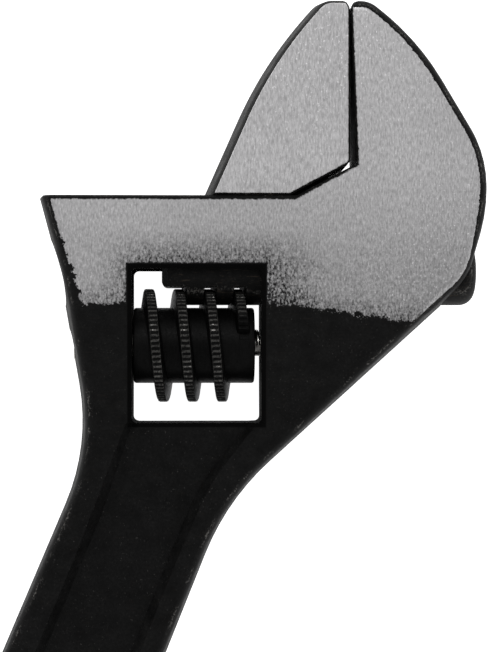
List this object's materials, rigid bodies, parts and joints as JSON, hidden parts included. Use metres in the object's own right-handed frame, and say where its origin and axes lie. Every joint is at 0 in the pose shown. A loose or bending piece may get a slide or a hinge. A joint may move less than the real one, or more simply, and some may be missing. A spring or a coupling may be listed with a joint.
{
  "type": "adjustable wrench",
  "caption": "Forged adjustable wrench with ground head, sliding lower jaw on a rack, knurled worm in a window and an I-section handle with a hang hole.",
  "frame": {"origin": "corner that the mouth is measured from: where the line of the fixed jaw's gripping face meets the slideway, at mid thickness", "axes": "+X is the way the movable jaw closes, +Y runs from the slideway to the jaw tips, +Z is out of the front face; the wrench lies flat"},
  "size_m": [0.1022, 0.1882, 0.015],
  "materials": {
    "forged_steel": "black phosphated forging, ground satin faces on the head",
    "jaw_steel": "ground satin faces, black phosphated sides",
    "worm_steel": "black phosphated, knurled",
    "pin_steel": "oiled steel",
    "spring_steel": "bright drawn wire"
  },
  "bodies": {
    "handle": {"handle_and_fixed_jaw": "forged_steel", "worm_pin": "pin_steel", "worm_spring": "spring_steel"},
    "jaw": {"movable_jaw": "jaw_steel"},
    "worm": {"adjusting_worm": "worm_steel"}
  },
  "joints": [
    {"name": "jaw_slide", "type": "slide", "parent": "handle", "child": "jaw", "axis": [-1, 0, 0], "range_m": [0, 0.024]},
    {"name": "worm_spin", "type": "hinge", "parent": "handle", "child": "worm", "pos_m": [-0.0214, -0.01955, 0], "axis": [1, 0, 0], "range_deg": [0, 2216]}
  ],
  "couplings": [
    {"joint": "worm_spin", "follows": "jaw_slide", "rad_per_m": 1611.1}
  ]
}
